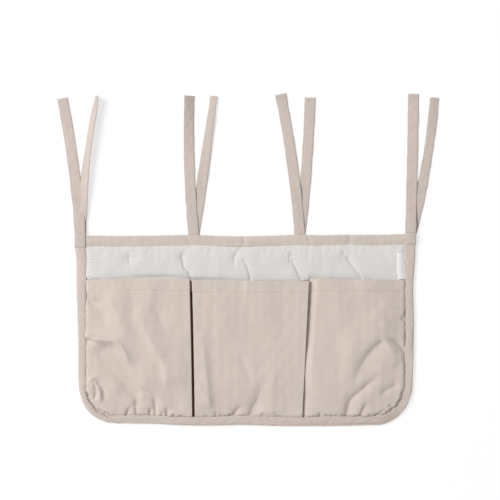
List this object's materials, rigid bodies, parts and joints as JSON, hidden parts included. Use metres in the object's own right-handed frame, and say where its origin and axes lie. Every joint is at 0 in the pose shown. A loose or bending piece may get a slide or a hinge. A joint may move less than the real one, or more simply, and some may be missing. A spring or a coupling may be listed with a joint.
{
  "type": "crib organizer",
  "caption": "Quilted fabric hanging panel bound with tape, with pleated front pockets and paired ties along its top edge for tying to a crib rail.",
  "frame": {"origin": "middle of the flat back face of the quilted panel", "axes": "+X along the panel to the right seen from the pockets, +Y towards the ties, +Z out of the pockets; the organizer lies on its back"},
  "size_m": [0.6284, 0.5467, 0.0182],
  "materials": {
    "quilt_cotton": "off-white plain-woven cotton, quilted, matte",
    "wadding": "white needled wadding",
    "tape": "beige folded cotton bias tape, edge-stitched, matte",
    "pocket_cotton": "beige plain-woven cotton, lightly creased, matte",
    "label_ribbon": "white woven ribbon, blank, slight sheen"
  },
  "bodies": {
    "panel": {"back_fabric": "quilt_cotton", "batting": "wadding", "front_fabric": "quilt_cotton", "binding_top": "tape", "binding_side": "tape", "pleat_left": "pocket_cotton", "pleat_right": "pocket_cotton", "tie_1_tab": "tape", "tie_2_tab": "tape", "tie_3_tab": "tape", "tie_4_tab": "tape"},
    "left_pocket": {"pocket_left": "pocket_cotton"},
    "middle_pocket": {"pocket_middle": "pocket_cotton"},
    "right_pocket": {"pocket_right": "pocket_cotton"},
    "tie_1_back": {"tie_1_back": "tape"},
    "tie_1_front": {"tie_1_front": "tape"},
    "tie_2_back": {"tie_2_back": "tape"},
    "tie_2_front": {"tie_2_front": "tape"},
    "tie_3_back": {"tie_3_back": "tape"},
    "tie_3_front": {"tie_3_front": "tape"},
    "tie_4_back": {"tie_4_back": "tape"},
    "tie_4_front": {"tie_4_front": "tape"},
    "label": {"label": "label_ribbon"}
  },
  "joints": [
    {"name": "left_pocket_opens", "type": "hinge", "parent": "panel", "child": "left_pocket", "pos_m": [-0.17, -0.13806, 0.0076], "axis": [1, 0, 0], "range_deg": [0, 15]},
    {"name": "middle_pocket_opens", "type": "hinge", "parent": "panel", "child": "middle_pocket", "pos_m": [0.005, -0.13806, 0.0076], "axis": [1, 0, 0], "range_deg": [0, 15]},
    {"name": "right_pocket_opens", "type": "hinge", "parent": "panel", "child": "right_pocket", "pos_m": [0.18, -0.13806, 0.0076], "axis": [1, 0, 0], "range_deg": [0, 15]},
    {"name": "tie_1_back_lifts", "type": "hinge", "parent": "panel", "child": "tie_1_back", "pos_m": [-0.271, 0.157, 0.002], "axis": [1, 0, 0], "range_deg": [0, 50]},
    {"name": "tie_1_front_lifts", "type": "hinge", "parent": "tie_1_back", "child": "tie_1_front", "pos_m": [-0.271, 0.1585, 0.0032], "axis": [1, 0, 0], "range_deg": [0, 50]},
    {"name": "tie_2_back_lifts", "type": "hinge", "parent": "panel", "child": "tie_2_back", "pos_m": [-0.0845, 0.157, 0.0009], "axis": [1, 0, 0], "range_deg": [0, 50]},
    {"name": "tie_2_front_lifts", "type": "hinge", "parent": "tie_2_back", "child": "tie_2_front", "pos_m": [-0.0845, 0.1585, 0.0021], "axis": [1, 0, 0], "range_deg": [0, 50]},
    {"name": "tie_3_back_lifts", "type": "hinge", "parent": "panel", "child": "tie_3_back", "pos_m": [0.0885, 0.157, 0.0009], "axis": [1, 0, 0], "range_deg": [0, 50]},
    {"name": "tie_3_front_lifts", "type": "hinge", "parent": "tie_3_back", "child": "tie_3_front", "pos_m": [0.0885, 0.1585, 0.0021], "axis": [1, 0, 0], "range_deg": [0, 50]},
    {"name": "tie_4_back_lifts", "type": "hinge", "parent": "panel", "child": "tie_4_back", "pos_m": [0.271, 0.157, 0.002], "axis": [1, 0, 0], "range_deg": [0, 50]},
    {"name": "tie_4_front_lifts", "type": "hinge", "parent": "tie_4_back", "child": "tie_4_front", "pos_m": [0.271, 0.1585, 0.0032], "axis": [1, 0, 0], "range_deg": [0, 50]},
    {"name": "label_lifts", "type": "hinge", "parent": "panel", "child": "label", "pos_m": [0.26754, 0.1075, 0.009], "axis": [0, 1, 0], "range_deg": [0, 150]}
  ]
}
